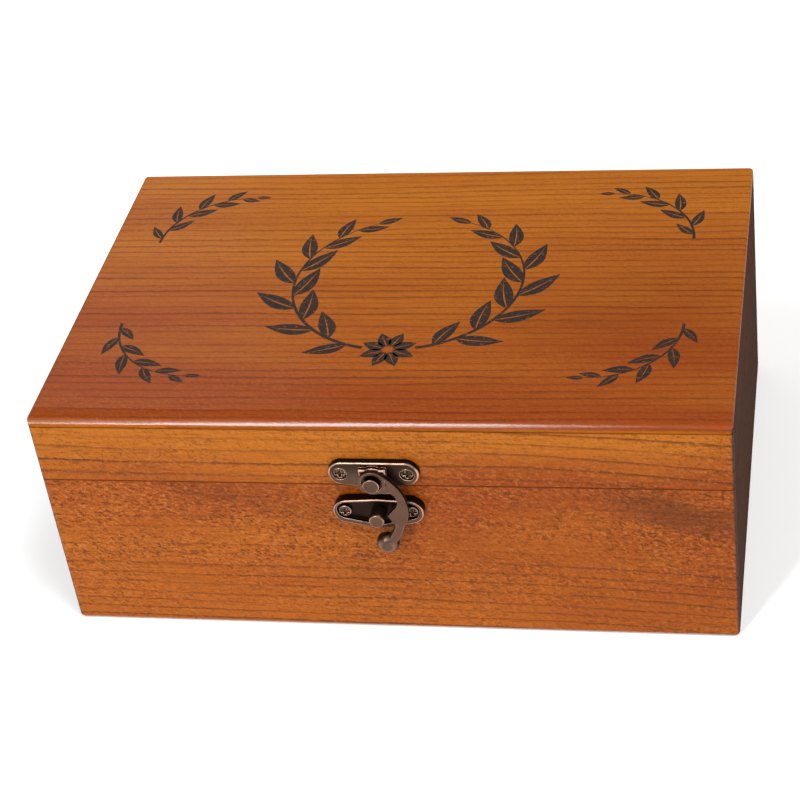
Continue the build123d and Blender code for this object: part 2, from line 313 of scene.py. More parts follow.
@dataclass(frozen=True)
class RoundedEdge:
    """The finish of a rounded front edge: a glossy strip, a darker band and a rubbed nose at its foot.

    Insets are shares of the edge's depth, counted back from its front. The strip fades to the right, and the
    band deepens to the left.
    """

    front: float
    nose: float
    depth: float = 0.0055
    nose_blend: float = 0.0006
    nose_share: float = 0.6
    strip_insets: Span = (0.34, 0.24)
    strip_right: Span = (0.03, 0.09)
    strip_right_share: float = 0.7
    strip_coat: float = 0.72
    band_insets: Span = (0.12, 0.32)
    band_end_insets: Span = (1.0, 0.7)
    band_share: float = 0.30
    band_left: Span = (0.0, -0.08)
    band_left_share: float = 0.40

    def finish(
        self, graph: Graph, place: Place, colour: Signal, wood: "StainedWood"
    ) -> tuple[Signal, Signal]:
        """Darkens the band, colours the nose and works out the edge's gloss.

        Args:
            graph: The material's graph.
            place: The point's X, Y and Z.
            colour: The wood's colour so far.
            wood: The wood, for its golden and deep stains and its coat.

        Returns:
            The colour with the band and the nose, and the weight of the coat.
        """
        x, y, z = place
        inset = (y - self.front) / self.depth
        band = inset.step(*self.band_end_insets) * inset.step(*self.band_insets)
        band = band * (self.band_share + x.step(*self.band_left) * self.band_left_share)
        colour = graph.mix(band, colour, wood.deep)
        nose = z.step(self.nose + self.nose_blend, self.nose)
        colour = graph.mix(nose * self.nose_share, colour, wood.golden)
        strip = inset.step(*self.strip_insets) * (1.0 - x.step(*self.strip_right) * self.strip_right_share)
        gloss = graph.math("MAXIMUM", strip * self.strip_coat, wood.coat) * (1.0 - nose)
        return colour, gloss


@dataclass(frozen=True)
class StainedWood:
    """A stained and varnished softwood board, with its growth rings, fibres and small flecks.

    The rings are planes across the board, bent by slow noise. Each ring darkens slowly and ends in a sharp
    line. The flecks are small dents painted as if lit from one side: painted shade in each dent and a painted
    highlight on the lip beside it. Above its quiet height a board has fainter rings and denser flecks. Its
    outer ends carry painted shade, a darker tone for sides that lie in shade, and dull dark lines mark its
    seams.
    """

    name: str
    run: Run
    seed: float
    # Stain
    golden: Colour = (0.345, 0.085, 0.004)
    russet: Colour = (0.258, 0.048, 0.003)
    late: Colour = (0.105, 0.024, 0.003)
    # painted highlight on the lips of the flecks
    lip_highlight: Colour = (0.560, 0.205, 0.060)
    deep: Colour = (0.120, 0.028, 0.006)
    russet_share: float = 0.45
    drift: Size = (0.0, 0.0, 0.0)
    hub: Size = (0.0, 0.0, 0.0)
    blotch: float = 1.5
    tone_grain: Size = (0.070, 0.022, 0.022)
    smudges: tuple[Smudge, ...] = ()
    smudge_grain: Size = (0.014, 0.004, 0.004)
    smudge_detail: float = 3.0
    smudge_rim: Span = (0.25, 0.60)
    flat: bool = False
    # Growth rings
    across_side: float = 0.25
    across_up: float = 1.0
    ring_pitch: float = 0.0036
    sway: float = 0.0050
    sway_grain: Size = (0.120, 0.030, 0.030)
    ragged: float = 0.0009
    ragged_grain: Size = (0.0040, 0.0015, 0.0015)
    crowd: float = 0.0040
    crowd_grain: Size = (0.400, 0.012, 0.012)
    dip: float = 0.0
    dip_from: float = 0.0
    late_rise: Span = (0.35, 0.93)
    late_fall: Span = (1.0, 0.94)
    line_edge: float = 7.0
    line_share: float = 0.95
    own_share: float = 0.50
    fade: Span = (0.25, 0.70)
    fade_share: float = 0.60
    fade_grain: Size = (0.060, 0.004, 0.004)
    quiet_height: float | None = None
    quiet_blend: float = 0.010
    quiet_share: float = 0.65
    # Fibres and flecks, with painted shade in the dents and a painted highlight on their lips
    fibre_grain: Size = (0.0120, 0.00045, 0.00045)
    fibre_dark: Span = (0.45, 0.80)
    fibre_share: float = 0.35
    fleck_grain: Size = (0.00120, 0.00090, 0.00090)
    fleck_twist: float = 0.5
    fleck_slope: Span = (0.05, 0.19)
    fleck_share: float = 0.80
    fleck_gain: float = 0.30
    lip_highlight_share: float = 0.32
    lip: Size = (0.00024, 0.00034, 0.00034)
    gate: Span = (0.30, 0.60)
    gate_share: float = 0.5
    gate_grain: Size = (0.030, 0.012, 0.012)
    # Seams
    seams: tuple[float, ...] = ()
    seam_reach: float = 0.0005
    seam_share: float = 0.85
    seam_tilt: Span = (0.97, 0.85)
    # Outer ends, in painted shade
    half_length: float | None = None
    end_reach: Span = (0.0030, 0.0015)
    end_tilt: Span = (0.35, 0.85)
    end_top: float | None = None
    end_blend: float = 0.0004
    # painted shade on the outer ends: a dark tone, and a darker one for the grain in it
    end_shade: Colour = (0.064, 0.040, 0.033)
    end_shade_dark: Colour = (0.020, 0.011, 0.009)
    end_shade_share: float = 0.94
    end_ring_share: float = 0.60
    end_fibre_dark: Span = (0.35, 0.75)
    end_fibre_share: float = 0.30
    end_fleck_share: float = 0.15
    # Varnish and relief
    roughness: float = 0.32
    fleck_roughness: float = 0.12
    fibre_roughness: float = 0.10
    seam_roughness: float = 0.40
    end_roughness: float = 0.60
    specular: float = 0.075
    coat: float = 0.06
    coat_roughness: float = 0.14
    coat_index: float = 1.5
    edge: RoundedEdge | None = None
    relief: float = 0.00014
    relief_strength: float = 0.8
    fibre_height: float = 0.25
    ring_depth: float = 0.5

    def material(self) -> bpy.types.Material:
        """Builds the board's material.

        Returns:
            A material that reads Object coordinates and the piece's own normals.
        """
        graph = Graph(self.name)
        place = x, y, z = graph.parts(graph.place())
        along, side = (x, y) if self.run is Run.LENGTHWISE else (y, x)
        point = graph.vector(along + self.seed, side, z)
        sideways, _, upward = graph.facing()
        quiet = self._quiet(z)
        rings = self._rings(graph, point, side, self._dipped(graph, x, z)) * (1.0 - quiet * self.quiet_share)
        fibres = graph.noise(point, self.fibre_grain)
        # painted shade in the flecks' small dents and a painted highlight on their lips, as if lit from one
        # side
        flecks, lit_lips = self._flecks(graph, point)
        dense = 1.0 - self.fleck_gain + quiet * self.fleck_gain
        patches = self._patches(graph, point, x, y if self.flat else z)
        grime = self._grime(z) * abs(upward).step(*self.seam_tilt)
        end = self._end(abs(sideways), x, z)
        colour = graph.mix(self._tone(graph, point, place), self.golden, self.russet)
        gloss = self.coat
        if self.edge is not None:
            colour, gloss = self.edge.finish(graph, place, colour, self)
        colour = graph.mix(patches, colour, self.deep)
        colour = graph.mix(fibres.step(*self.fibre_dark) * self.fibre_share, colour, self.late)
        colour = graph.mix(rings * self.line_share, colour, self.late)
        colour = graph.mix(flecks * dense * self.fleck_share, colour, self.late)
        colour = graph.mix(lit_lips * dense * (1.0 - patches) * self.lip_highlight_share, colour, self.lip_highlight)
        colour = graph.mix(grime * self.seam_share, colour, self.late)
        # painted shade on the outer ends, with the grain drawn darker in it
        marks = rings * self.end_ring_share + flecks * self.end_fleck_share + grime
        marks = (marks + fibres.step(*self.end_fibre_dark) * self.end_fibre_share).step(0.0, 1.0)
        colour = graph.mix(end * self.end_shade_share, colour, graph.mix(marks, self.end_shade, self.end_shade_dark))
        dull = flecks * self.fleck_roughness + fibres * self.fibre_roughness
        height = fibres * self.fibre_height - rings * self.ring_depth - flecks * self.fleck_share
        return graph.surface(
            Base_Color=colour,
            Roughness=self.roughness + dull + grime * self.seam_roughness + end * self.end_roughness,
            Specular_IOR_Level=self.specular,
            Coat_Weight=(1.0 - grime) * (1.0 - end) * gloss,
            Coat_Roughness=self.coat_roughness,
            Coat_IOR=self.coat_index,
            Normal=graph.bump(height, self.relief, self.relief_strength),
        )

    def _quiet(self, z: Signal) -> Value:
        """How far a point lies in the quiet upper part of the board, from 0 to 1."""
        if self.quiet_height is None:
            return 0.0
        return z.step(self.quiet_height, self.quiet_height + self.quiet_blend)

    def _dipped(self, graph: Graph, x: Signal, z: Signal) -> Signal:
        """The height that the rings are drawn at, z + dip * (x - dip_from) ** 2 to the right of dip_from."""
        if self.dip == 0.0:
            return z
        past = graph.math("MAXIMUM", x - self.dip_from, 0.0)
        return z + past * past * self.dip

    def _rings(self, graph: Graph, point: Signal, side: Signal, up: Signal) -> Signal:
        """Works out how dark the late wood is at a point.

        Args:
            graph: The material's graph.
            point: The point in the board's own run, in metres.
            side: Its place across the board.
            up: Its height.

        Returns:
            The darkness of the ring, from 0 to 1.
        """
        bent = graph.swing(point, self.sway_grain, self.sway)
        crowded = graph.swing(point, self.crowd_grain, self.crowd)
        rough = graph.swing(point, self.ragged_grain, self.ragged)
        count = (side * self.across_side + up * self.across_up + bent + crowded + rough) / self.ring_pitch
        part = count.fraction()
        late = part.step(*self.late_rise) ** self.line_edge * part.step(*self.late_fall)
        own = graph.out("TexWhiteNoise", "Value", {"noise_dimensions": "1D"}, {"W": count.floor()})
        faded = graph.noise(point, self.fade_grain).step(*self.fade)
        return late * partly(self.own_share, own) * partly(self.fade_share, faded)

    def _flecks(self, graph: Graph, point: Signal) -> tuple[Signal, Signal]:
        """Paints shade in small dents and a highlight on the lips beside them, from the slope of a fine
        noise.

        Args:
            graph: The material's graph.
            point: The point in the board's own run.

        Returns:
            The painted shade in the dents and the painted highlight on their lips, each from 0 to 1.
        """
        beside = graph.out("VectorMath", "Vector", {"operation": "ADD"}, {0: point, 1: self.lip})
        here = graph.noise(point, self.fleck_grain, twist=self.fleck_twist)
        slope = here - graph.noise(beside, self.fleck_grain, twist=self.fleck_twist)
        strength = partly(self.gate_share, graph.noise(point, self.gate_grain).step(*self.gate))
        low, high = self.fleck_slope
        return slope.step(low, high) * strength, slope.step(-low, -high) * strength

    def _tone(self, graph: Graph, point: Signal, place: Place) -> Signal:
        """Works out how far the stain leans from golden to russet.

        Args:
            graph: The material's graph.
            point: The point in the board's own run.
            place: The point's X, Y and Z.

        Returns:
            The share of russet, from 0 to 1.
        """
        shift = self.russet_share
        for part, slope, middle in zip(place, self.drift, self.hub):
            shift = (part - middle) * slope + shift
        return (shift + graph.swing(point, self.tone_grain, self.blotch)).step(0.0, 1.0)

    def _patches(self, graph: Graph, point: Signal, x: Signal, up: Signal) -> Value:
        """Works out the dark patches, each 1 in the middle of its ellipse and 0 at its rim.

        Args:
            graph: The material's graph.
            point: The point in the board's own run.
            x: The point's X.
            up: The point's Z, or its Y on a flat board.

        Returns:
            The share of the deep stain, from 0 to 1.
        """
        total = 0.0
        for patch in self.smudges:
            ragged = graph.noise(point, self.smudge_grain, self.smudge_detail).step(*self.smudge_rim)
            across = (x - patch.x) / patch.half_width
            above = (up - patch.up + (x - patch.x) * patch.lean) / patch.half_height
            total = total + (across * across + above * above).step(1.0, 0.0) * ragged * patch.share
        return total

    def _grime(self, z: Signal) -> Value:
        """Works out the dull dark lines in the seams, each 1 at the seam's height."""
        return sum(abs(z - seam).step(self.seam_reach, 0.0) for seam in self.seams)

    def _end(self, tilt: Signal, x: Signal, z: Signal) -> Value:
        """Works out where the board's outer ends are, which get painted shade.

        Args:
            tilt: How squarely the surface faces along X, from 0 to 1.
            x: The point's X.
            z: The point's Z.

        Returns:
            1 on an outer end and 0 elsewhere.
        """
        if self.half_length is None:
            return 0.0
        inner, outer = (self.half_length - reach for reach in self.end_reach)
        end = tilt.step(*self.end_tilt) * abs(x).step(inner, outer)
        return end if self.end_top is None else end * z.step(self.end_top, self.end_top - self.end_blend)


@dataclass(frozen=True)
class AntiqueMetal:
    """Dark patina with buffed front faces, bright worn edges that are partly a painted highlight, and black
    hollows whose patina also paints in shade.
    """

    name: str
    patina: Colour = (0.0195, 0.0115, 0.0080)
    buffed: Colour = (0.109, 0.0625, 0.0435)
    wear_and_glint: Colour = (0.79, 0.475, 0.335)
    # Buffed faces
    buff_share: float = 0.90
    wall_share: float = 0.0
    front_tilt: Span = (0.55, 0.92)
    buff_floor: float = 0.60
    buff_blotch: float = 0.6
    # painted shade over the upper part of a face, between two heights, in place of a domed face's shading
    painted_shade: Span | None = None
    painted_shade_share: float = 0.75
    # Worn edges and rims, partly a painted highlight
    edge_share: float = 0.85
    edge_radius: float = 0.00035
    edge_turn: Span = (0.02, 0.12)
    rim_share: float = 0.75
    rim_tilt: Span = (0.18, 0.50)
    rim_flat: Span = (0.985, 0.90)
    rim_wear: float = 0.6
    sky_share: float = 0.55
    wear: Span = (0.25, 0.50)
    # Hollows, whose patina also paints in shade, and painted shade on a sunk field
    hollow_reach: float = 0.0011
    hollow_seen: Span = (0.72, 0.40)
    hollow_share: float = 0.95
    shaded_field: float | None = None
    shaded_field_blend: float = 0.0002
    shaded_field_share: float = 0.85
    dark_full: float = 0.9
    # Polish and relief
    blotch_grain: Size = (0.0026, 0.0026, 0.0026)
    blotch_detail: float = 4.0
    scratch_grain: Size = (0.0003, 0.0003, 0.0020)
    scratch_height: float = 0.3
    roughness: float = 0.28
    blotch_roughness: float = 0.18
    scratch_roughness: float = 0.06
    rim_polish: float = 0.06
    relief: float = 0.00003
    relief_strength: float = 0.4
    samples: int = 8

    def material(self) -> bpy.types.Material:
        """Builds the metal's material.

        Faces that look forward or back are buffed, those that turn away from there are bright, a worn rim
        that is partly a painted highlight, and the walls are dark. Hollows are found by how little of the sky
        they see, and their patina also paints in the shade that falls in them.

        Returns:
            A material that reads the piece's own coordinates and normals.
        """
        graph = Graph(self.name)
        point = graph.place()
        _, depth, z = graph.parts(point)
        _, forward, upward = graph.facing()
        facing = abs(forward)
        skyward = graph.math("MAXIMUM", upward, 0.0)
        blotch = graph.noise(point, self.blotch_grain, self.blotch_detail)
        scratch = graph.noise(point, self.scratch_grain)
        worn = blotch.step(*self.wear)
        rounded = graph.out("Bevel", "Normal", {"samples": self.samples}, {"Radius": self.edge_radius})
        edge = (1.0 - self._alignment(graph, rounded)).step(*self.edge_turn) * worn
        rim = (facing - skyward * self.sky_share).step(*self.rim_tilt) * facing.step(*self.rim_flat)
        rim = rim * partly(self.rim_wear, worn)
        front = self.wall_share + facing.step(*self.front_tilt) * (1.0 - self.wall_share)
        front = front * (self.buff_floor + blotch * self.buff_blotch) * self._unshaded(z)
        colour = graph.mix(front * self.buff_share, self.patina, self.buffed)
        # worn rims and edges in bright metal, partly a painted highlight
        colour = graph.mix(rim * self.rim_share, colour, self.wear_and_glint)
        colour = graph.mix(edge * self.edge_share, colour, self.wear_and_glint)
        colour = graph.mix(self._dark(graph, depth), colour, self.patina)
        dull = blotch * self.blotch_roughness + scratch * self.scratch_roughness
        height = blotch + scratch * self.scratch_height
        return graph.surface(
            Base_Color=colour,
            Metallic=1.0,
            Roughness=self.roughness + dull - rim * self.rim_polish,
            Normal=graph.bump(height, self.relief, self.relief_strength, Normal=rounded),
        )

    def _alignment(self, graph: Graph, rounded: Signal) -> Signal:
        """How well the rounded normal agrees with the flat one, which is 1 away from edges."""
        flat = graph.out("NewGeometry", "Normal", {}, {})
        return graph.out("VectorMath", "Value", {"operation": "DOT_PRODUCT"}, {0: rounded, 1: flat})

    def _unshaded(self, z: Signal) -> Value:
        """The share of the buffing that the painted shade leaves, 1 below it."""
        return 1.0 if self.painted_shade is None else 1.0 - z.step(*self.painted_shade) * self.painted_shade_share

    def _dark(self, graph: Graph, depth: Signal) -> Signal:
        """Works out how dark hollows are, as patina that also paints in their shade, and the painted shade on
        a sunk face.

        Args:
            graph: The material's graph.
            depth: The point's Y.

        Returns:
            The share of patina, from 0 to 1.
        """
        # patina in hollows, by how little sky they see, which also paints in the shade in and beside them
        seen = graph.out("AmbientOcclusion", "AO", {"samples": self.samples}, {"Distance": self.hollow_reach})
        dark = seen.step(*self.hollow_seen) * self.hollow_share
        if self.shaded_field is not None:
            # painted shade on a sunk field
            dark = dark + depth.step(self.shaded_field, self.shaded_field + self.shaded_field_blend) * self.shaded_field_share
        return dark.step(0.0, self.dark_full)


@dataclass(frozen=True)
class PrintInk:
    """Dry dark ink on wood, thin enough for a few specks of the wood to show."""

    name: str
    ink: Colour = (0.020, 0.013, 0.010)
    wood: Colour = (0.200, 0.060, 0.012)
    speck_grain: Size = (0.0011, 0.0006, 0.0006)
    speck_detail: float = 3.0
    specks: Span = (0.60, 0.68)
    speck_share: float = 0.75
    streak_grain: Size = (0.0200, 0.0009, 0.0009)
    streaks: Span = (0.45, 0.75)
    streak_share: float = 0.12
    roughness: float = 0.48
    streak_roughness: float = 0.12
    specular: float = 0.2
    relief: float = 0.00003
    relief_strength: float = 0.5

    def material(self) -> bpy.types.Material:
        """Builds the ink's material.

        Returns:
            A material that reads Object coordinates only.
        """
        graph = Graph(self.name)
        point = graph.place()
        specks = graph.noise(point, self.speck_grain, self.speck_detail).step(*self.specks)
        streaks = graph.noise(point, self.streak_grain).step(*self.streaks)
        bare = specks * self.speck_share + streaks * self.streak_share
        return graph.surface(
            Base_Color=graph.mix(bare, self.ink, self.wood),
            Roughness=self.roughness + streaks * self.streak_roughness,
            Specular_IOR_Level=self.specular,
            Normal=graph.bump(streaks - specks, self.relief, self.relief_strength),
        )


def dress(nodes: Sequence[str], finish: StainedWood | AntiqueMetal) -> None:
    """Gives CAD nodes a finish and reports them.

    Args:
        nodes: The nodes' names.
        finish: The finish.
    """
    material = finish.material()
    for name in nodes:
        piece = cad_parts[name]
        piece.data.materials.clear()
        piece.data.materials.append(material)
        LOG.info("dressed %s in %s", name, material.name)


def mesh_of_grids(name: str, grids: np.ndarray) -> bpy.types.Object:
    """Makes one object out of many surface grids.

    Args:
        name: The object's name.
        grids: Points of shape (grids, rows, columns, 3).

    Returns:
        The object, with four-sided faces between neighbouring rows and columns.
    """
    count, rows, columns, _ = grids.shape
    number = np.arange(count * rows * columns).reshape(count, rows, columns)
    around = (number[:, :-1, :-1], number[:, 1:, :-1], number[:, 1:, 1:], number[:, :-1, 1:])
    faces = np.stack(around, axis=-1).reshape(-1, 4)
    mesh = bpy.data.meshes.new(name)
    mesh.from_pydata(grids.reshape(-1, 3).tolist(), [], faces.tolist())
    mesh.update()
    piece = bpy.data.objects.new(name, mesh)
    bpy.context.scene.collection.objects.link(piece)
    return piece


def at_height(flat: np.ndarray, height: float) -> np.ndarray:
    """Puts flat points, with a last axis of 2, at one height."""
    return np.concatenate((flat, np.full((*flat.shape[:-1], 1), height)), axis=-1)


@dataclass(frozen=True)
class Leaf:
    """A printed leaf, with a bare midrib that narrows from the stem to the tip.

    The ends are shares of its length, and the rib's widths are shares of its own width.
    """

    rows: int = 22
    columns: int = 5
    ends: Span = (0.02, 0.995)
    rib_taper: float = 0.11
    rib_tip: float = 0.015
    fullness: float = 0.8

    def halves(self, base: np.ndarray, angle: np.ndarray, size: np.ndarray, bow: np.ndarray) -> np.ndarray:
        """Draws flat leaves, each as two halves beside its midrib.

        A point is base + length * (u * d + bow * u * u * n) + v * width / 2 * sin(pi * u ** fullness) * n,
        where d is the leaf's direction, n is square to it, u runs along the leaf and v across it.

        Args:
            base: Where the leaves start, of shape (leaves, 2).
            angle: Their directions.
            size: Their lengths and widths, of shape (leaves, 2).
            bow: How far each bends to its left, as a share of its length.

        Returns:
            Grids of shape (2 * leaves, rows, columns, 2), whose faces look up.
        """
        along = np.stack((np.cos(angle), np.sin(angle)), axis=-1)[:, None, None, :]
        across = np.stack((-np.sin(angle), np.cos(angle)), axis=-1)[:, None, None, :]
        length, width = (size[:, side, None, None, None] for side in (0, 1))
        u = np.linspace(*self.ends, self.rows)[None, :, None, None]
        rib = self.rib_taper * (1.0 - u) + self.rib_tip
        reach = rib + (1.0 - rib) * np.linspace(0.0, 1.0, self.columns)[None, None, :, None]
        middle = base[:, None, None, :] + length * (u * along + bow[:, None, None, None] * u * u * across)
        half = width / 2 * np.sin(np.pi * u**self.fullness) * across
        return np.concatenate((middle + reach * half, middle - reach[:, :, ::-1] * half))


@dataclass(frozen=True)
class SprigStyle:
    """How a leafy stem is drawn: its leaves, how they lean and swell, and its stem's width and taper."""

    leaves: int
    leaf_size: Span
    lean: float
    stem_width: float
    stem_rows: int = 48
    stem_taper: float = 0.8
    first_leaf: float = 0.06
    lean_loss: float = 0.35
    least_scale: float = 0.42
    swell_from: float = 0.20
    swell_run: float = 0.75
    bow: float = 0.16


@dataclass(frozen=True)
class Sprig:
    """A leafy stem of the lid's print, an arc of steady curve with leaves on alternate sides."""

    style: SprigStyle
    start: Span
    heading: float
    radius: float
    turn: float

    def along(self, share: np.ndarray) -> tuple[np.ndarray, np.ndarray]:
        """Follows the stem: start + r * (sin a - sin h, cos h - cos a), with a = h + turn * share.

        Here h is the heading at the start, and r is the radius with the sign of the turn.

        Args:
            share: How far along the stem, from 0 to 1.

        Returns:
            The points, with a last axis of 2, and the headings there.
        """
        angle = self.heading + self.turn * share
        radius = math.copysign(self.radius, self.turn)
        x = self.start[0] + radius * (np.sin(angle) - math.sin(self.heading))
        y = self.start[1] + radius * (math.cos(self.heading) - np.cos(angle))
        return np.stack((x, y), axis=-1), angle

    def stem(self) -> np.ndarray:
        """The stem as one ribbon, a grid of shape (1, rows, 2, 2) that narrows steadily by the taper."""
        share = np.linspace(0.0, 1.0, self.style.stem_rows)
        points, angle = self.along(share)
        normals = np.stack((-np.sin(angle), np.cos(angle)), axis=-1)
        half = (self.style.stem_width * (1.0 - self.style.stem_taper * share) / 2)[:, None] * normals
        return np.stack((points - half, points + half), axis=1)[None]

    def blades(self, leaf: Leaf) -> np.ndarray:
        """The leaves, small at both ends of the stem, with one at its tip.

        A leaf's scale is least + (1 - least) * sin(pi * (swell_from + swell_run * s)), with s along the stem.

        Args:
            leaf: The outline of a leaf.

        Returns:
            Grids of shape (2 * leaves, rows, columns, 2).
        """
        style = self.style
        share = np.linspace(style.first_leaf, 1.0, style.leaves)
        side = np.where(np.arange(style.leaves) % 2 == 0, 1.0, -1.0)
        side[-1] = 0.0
        base, heading = self.along(share)
        angle = heading + side * style.lean * (1.0 - style.lean_loss * share)
        swell = np.sin(np.pi * (style.swell_from + style.swell_run * share))
        scale = style.least_scale + (1.0 - style.least_scale) * swell
        return leaf.halves(base, angle, scale[:, None] * np.array(style.leaf_size), -style.bow * side)


@dataclass
class LidPrint:
    """The print on the lid: a wreath of two branches, a rosette at its foot and a sprig in each corner."""

    top: float
    middle: Span = (0.0, 0.003)
    wreath_radius: float = 0.035
    wreath_open: float = math.radians(13)
    wreath_turn: float = math.radians(142)
    wreath_style: SprigStyle = SprigStyle(13, (0.0160, 0.0058), math.radians(50), 0.0013)
    petals: int = 8
    petal_size: Span = (0.0072, 0.0040)
    petal_gap: float = 0.0014
    corner_reach: Span = (0.084, 0.048)
    corner_radius: float = 0.026
    corner_style: SprigStyle = SprigStyle(9, (0.0100, 0.0036), math.radians(48), 0.0009)
    leaf: Leaf = Leaf()
    rise: float = 0.00002
    depth: float = 0.00006

    def wreath(self) -> list[Sprig]:
        """The two branches of the wreath, mirror images that start beside its foot."""
        radius = self.wreath_radius
        branches = []
        for side in (-1.0, 1.0):
            start = (
                self.middle[0] + side * radius * math.sin(self.wreath_open),
                self.middle[1] - radius * math.cos(self.wreath_open),
            )
            heading = QUARTER_TURN - side * (QUARTER_TURN - self.wreath_open)
            branches.append(Sprig(self.wreath_style, start, heading, radius, side * self.wreath_turn))
        return branches

    def corners(self) -> list[Sprig]:
        """One sprig for each corner, a quarter circle that turns round it."""
        radius = self.corner_radius
        sprigs = []
        for side in (-1.0, 1.0):
            for end in (-1.0, 1.0):
                start = (
                    self.middle[0] + side * self.corner_reach[0],
                    self.middle[1] + end * (self.corner_reach[1] - radius),
                )
                turn = QUARTER_TURN * side * end
                sprigs.append(Sprig(self.corner_style, start, end * QUARTER_TURN, radius, turn))
        return sprigs

    def rosette(self) -> np.ndarray:
        """The rosette's petals, evenly turned about the wreath's foot, as leaf grids."""
        angle = (2 * np.arange(self.petals) + 1) * math.pi / self.petals
        foot = np.array(self.middle) - (0.0, self.wreath_radius)
        base = foot + self.petal_gap * np.stack((np.cos(angle), np.sin(angle)), axis=-1)
        size = np.tile(self.petal_size, (self.petals, 1))
        return self.leaf.halves(base, angle, size, np.zeros(self.petals))

    def build(self, ink: bpy.types.Material) -> None:
        """Makes the printed pieces on the lid.

        Args:
            ink: Their finish.
        """
        self.print_piece("lid_print_rosette", self.rosette(), self.rise, ink)
        for name, sprigs in {"lid_print_wreath": self.wreath(), "lid_print_corners": self.corners()}.items():
            blades = np.concatenate([sprig.blades(self.leaf) for sprig in sprigs])
            stems = np.concatenate([sprig.stem() for sprig in sprigs])
            self.print_piece(name, blades, self.rise / 2, ink)
            self.print_piece(name + "_stem", stems, self.rise, ink)

    def print_piece(self, name: str, flat: np.ndarray, rise: float, ink: bpy.types.Material) -> None:
        """Lays flat grids on the lid as a thin layer of ink.

        Args:
            name: The piece's name.
            flat: Grids of shape (grids, rows, columns, 2).
            rise: How far the layer stands above the wood.
            ink: Its finish.
        """
        piece = mesh_of_grids(name, at_height(flat, self.top + rise))
        piece.data.materials.append(ink)
        layer = piece.modifiers.new("ink_layer", "SOLIDIFY")
        layer.thickness = self.depth
        layer.offset = -1.0
        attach(piece, "lid")
        LOG.info("printed %s", name)


@dataclass
class BoxBody:
    """The four boards of the body, its bottom panel and the brads under it."""

    seam: float
    half_length: float
    front_smudges: tuple[Smudge, ...] = (
        Smudge(x=0.086, up=0.0455, half_width=0.032, half_height=0.0080, share=0.70),
        Smudge(x=-0.035, up=0.0480, half_width=0.040, half_height=0.0070, share=0.30),
    )

    def dress(self) -> None:
        """Finishes the boards, the bottom and the brads."""
        # half_length gives the boards' outer ends painted shade
        outside = {"seams": (self.seam,), "half_length": self.half_length}
        front = StainedWood(
            "body_front_wood",
            Run.LENGTHWISE,
            seed=0.31,
            drift=(2.2, 0.0, 9.0),
            hub=(0.0, 0.0, 0.030),
            quiet_height=0.019,
            line_share=1.35,
            dip=0.5,
            smudges=self.front_smudges,
            **outside,
        )
        back = StainedWood("body_back_wood", Run.LENGTHWISE, seed=0.57, quiet_height=0.030, **outside)
        ends = StainedWood("body_end_wood", Run.CROSSWISE, seed=0.87, specular=0.0, coat=0.0, **outside)
        under = StainedWood(
            "bottom_wood", Run.LENGTHWISE, seed=0.52, across_side=1.0, across_up=0.2, ring_pitch=0.0052
        )
        dress(("body_front_board",), front)
        dress(("body_back_board",), back)
        dress(("body_left_board", "body_right_board"), ends)
        dress(("bottom_panel",), under)
        brads = AntiqueMetal("brad_steel", buffed=(0.35, 0.34, 0.33))
        dress(("bottom_brads",), brads)


@dataclass
class Lid:
    """The lid's four rails and its top panel."""

    seam: float
    joint: float
    front: float
    top: float
    half_length: float
    ring_pitch: float = 0.0042
    unshaded_arris: float = 0.0011
    nose_height: float = 0.0006
    top_smudge: Smudge = Smudge(x=0.086, up=-0.012, half_width=0.075, half_height=0.030, share=0.56, lean=0.0)

    def dress(self) -> None:
        """Finishes the rails and the top panel."""
        # half_length gives the rails' and panel's outer ends painted shade
        outside = {
            "seams": (self.seam, self.joint),
            "half_length": self.half_length,
            "ring_pitch": self.ring_pitch,
        }
        rail = StainedWood(
            "lid_rail_wood",
            Run.LENGTHWISE,
            seed=0.11,
            golden=(0.388, 0.112, 0.006),
            russet_share=0.30,
            drift=(2.4, 0.0, -36.0),
            hub=(0.0, 0.0, 0.066),
            line_share=1.20,
            fleck_share=0.65,
            dip=0.8,
            dip_from=0.02,
            **outside,
        )
        ends = StainedWood("lid_end_wood", Run.CROSSWISE, seed=0.71, specular=0.0, coat=0.0, **outside)
        dress(("lid_front_rail", "lid_back_rail"), rail)
        dress(("lid_left_rail", "lid_right_rail"), ends)
        dress(("lid_top_panel",), self.top_wood())

    def top_wood(self) -> StainedWood:
        """The top panel's finish, with flat grain, a glossier varnish and the rounded front edge."""
        return StainedWood(
            "lid_top_wood",
            Run.LENGTHWISE,
            seed=0.43,
            across_side=1.0,
            across_up=0.3,
            ring_pitch=0.0031,
            golden=(0.405, 0.127, 0.010),
            russet=(0.250, 0.046, 0.005),
            late=(0.080, 0.015, 0.004),
            lip_highlight=(0.430, 0.160, 0.040),
            deep=(0.200, 0.032, 0.003),
            russet_share=0.53,
            drift=(-0.6, -5.0, 0.0),
            blotch=1.1,
            tone_grain=(0.150, 0.018, 0.018),
            smudges=(self.top_smudge,),
            smudge_grain=(0.110, 0.045, 0.045),
            flat=True,
            line_share=0.78,
            line_edge=3.0,
            fleck_share=0.25,
            lip_highlight_share=0.15,
            half_length=self.half_length,
            # the painted shade on the panel's ends stops below its arris
            end_top=self.top - self.unshaded_arris,
            specular=0.0,
            coat=0.20,
            coat_roughness=0.22,
            coat_index=1.8,
            edge=RoundedEdge(self.front, self.joint + self.nose_height),
        )


